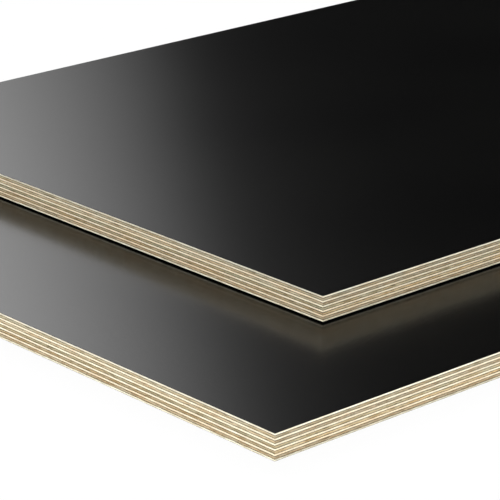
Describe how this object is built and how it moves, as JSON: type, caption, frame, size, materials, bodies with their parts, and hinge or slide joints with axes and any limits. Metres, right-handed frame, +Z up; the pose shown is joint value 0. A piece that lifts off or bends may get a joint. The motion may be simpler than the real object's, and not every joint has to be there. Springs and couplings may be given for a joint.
{
  "type": "stack of film-faced plywood sheets",
  "caption": "Stack of flat rectangular plywood sheets with black film faces and bare banded edges, the upper sheet set back from the lower one. Stock for formwork, floors and joinery.",
  "frame": {"origin": "on the floor, at the middle of the stack's footprint", "axes": "+Y along the sheets, +X across them, +Z up through the stack"},
  "size_m": [0.5414, 1.119, 0.031],
  "materials": {
    "film": "gloss",
    "pale_veneer": "matte",
    "crossband": "matte"
  },
  "bodies": {
    "root": {"lower_bottom_film": "film", "lower_pale_veneer_01": "pale_veneer", "lower_crossband_02": "crossband", "lower_pale_veneer_03": "pale_veneer", "lower_crossband_04": "crossband", "lower_pale_veneer_05": "pale_veneer", "lower_crossband_06": "crossband", "lower_pale_veneer_07": "pale_veneer", "lower_crossband_08": "crossband", "lower_pale_veneer_09": "pale_veneer", "lower_crossband_10": "crossband", "lower_pale_veneer_11": "pale_veneer", "lower_top_film": "film", "upper_bottom_film": "film", "upper_pale_veneer_01": "pale_veneer", "upper_crossband_02": "crossband", "upper_pale_veneer_03": "pale_veneer", "upper_crossband_04": "crossband", "upper_pale_veneer_05": "pale_veneer", "upper_crossband_06": "crossband", "upper_pale_veneer_07": "pale_veneer", "upper_crossband_08": "crossband", "upper_pale_veneer_09": "pale_veneer", "upper_crossband_10": "crossband", "upper_pale_veneer_11": "pale_veneer", "upper_top_film": "film"}
  },
  "joints": []
}
